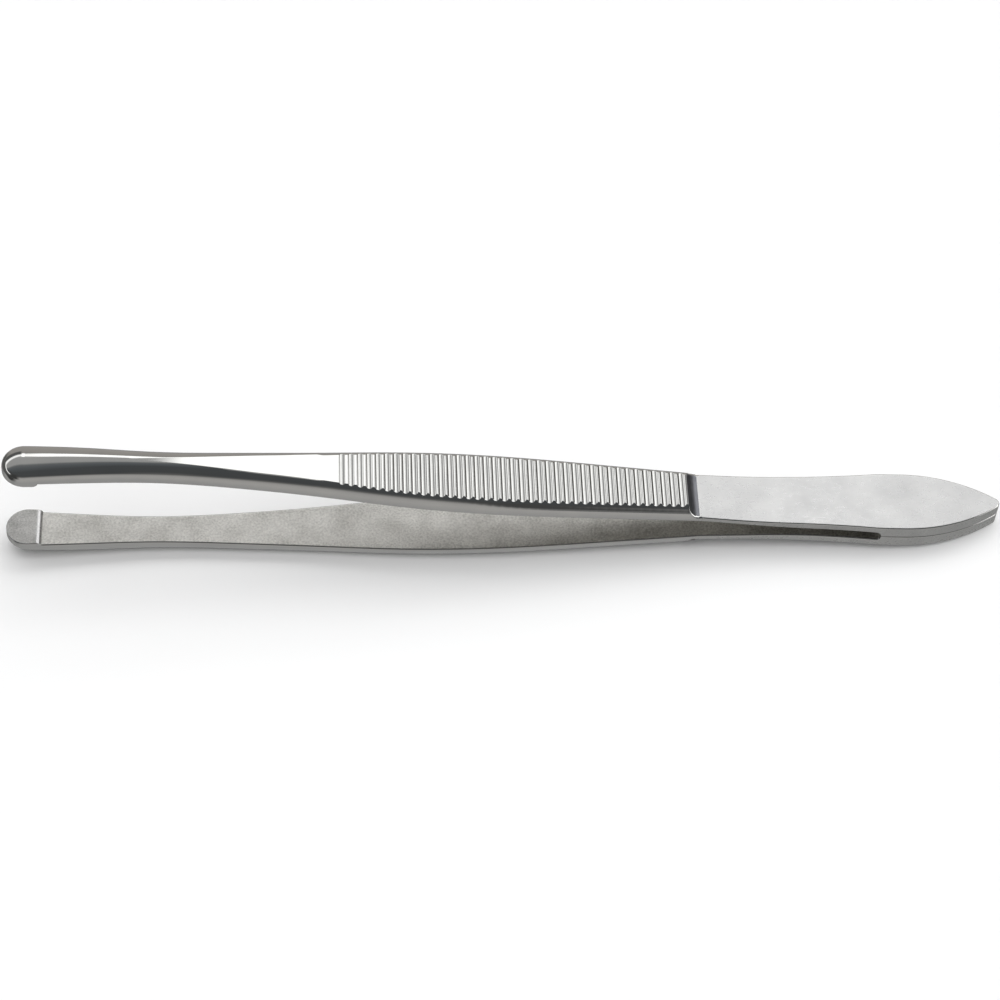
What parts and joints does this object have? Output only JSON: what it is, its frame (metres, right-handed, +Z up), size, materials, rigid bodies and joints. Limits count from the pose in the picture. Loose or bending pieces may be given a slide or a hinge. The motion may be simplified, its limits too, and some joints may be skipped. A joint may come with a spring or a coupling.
{
  "type": "thumb forceps",
  "caption": "Small thumb forceps with round-nosed jaws, cross-grooved grips and a welded leaf-shaped base, lying on one side.",
  "frame": {"origin": "centre of the footprint, on the surface the forceps lie on", "axes": "+X from the jaws to the welded base end, +Y across the arms, +Z up, the way the upper arm springs open"},
  "size_m": [0.0892, 0.0062, 0.0122],
  "materials": {
    "polished_steel": "stainless steel, mirror-polished on the outer faces, satin on the base panel, bead-blasted inside"
  },
  "bodies": {
    "root": {"upper_arm": "polished_steel", "lower_arm": "polished_steel"}
  },
  "joints": []
}
